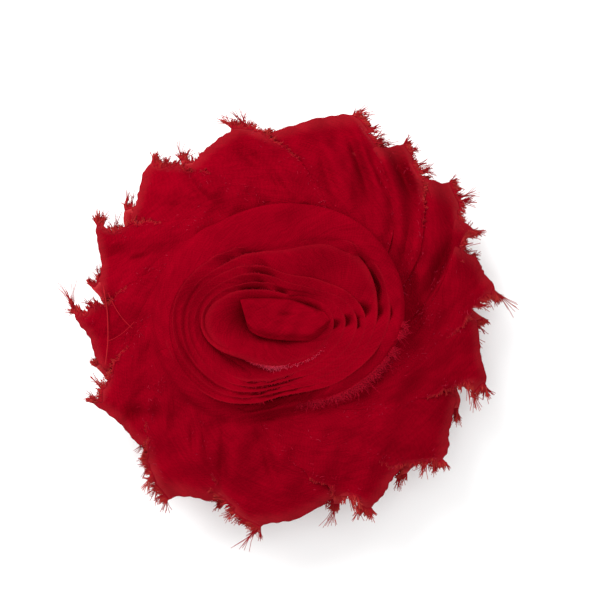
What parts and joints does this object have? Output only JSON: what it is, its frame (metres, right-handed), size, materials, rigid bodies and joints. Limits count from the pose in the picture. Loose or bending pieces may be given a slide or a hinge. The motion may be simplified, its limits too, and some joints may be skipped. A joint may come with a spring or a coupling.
{
  "type": "flower hair clip",
  "caption": "Frayed red chiffon flower with a swirled rosette centre, backed with net and felt and glued to a ribbon-lined, sprung alligator hair clip.",
  "frame": {"origin": "on the flower's axis, at the height of the moving jaw's flat outer face, the lowest face of the part", "axes": "+Z out of the flower's face, +X along the clip from its gripping tip to its finger tails, +Y across the clip"},
  "size_m": [0.0684, 0.0682, 0.018],
  "materials": {
    "clip_steel": "nickel-plated pressed sheet, satin",
    "pin_steel": "nickel-plated, turned",
    "spring_wire": "drawn spring wire",
    "ribbon": "ribbed grosgrain ribbon",
    "glue": "hot-melt glue, semi-clear",
    "felt": "pressed wool-like felt",
    "net": "stiff net",
    "thread": "twisted sewing thread",
    "chiffon": "sheer woven chiffon with raw frayed edges"
  },
  "bodies": {
    "root": {"fixed_jaw": "clip_steel", "hinge_pin": "pin_steel", "torsion_spring": "spring_wire", "ribbon_lining": "ribbon", "glue_strip": "glue", "felt_backing": "felt", "glue_pad": "glue", "net_backing": "net", "row_stitches": "thread", "under_ruffle": "chiffon", "outer_ruffle": "chiffon", "rosette_strip": "chiffon", "centre_bud": "chiffon"},
    "moving_jaw": {"moving_jaw": "clip_steel"}
  },
  "joints": [
    {"name": "jaw_hinge", "type": "hinge", "parent": "root", "child": "moving_jaw", "pos_m": [0.012, 0, 0.0025], "axis": [0, -1, 0], "range_deg": [0, 24], "stiffness_Nm_per_rad": 0.1, "springref_deg": -20.05, "deforming": ["torsion_spring"]}
  ]
}
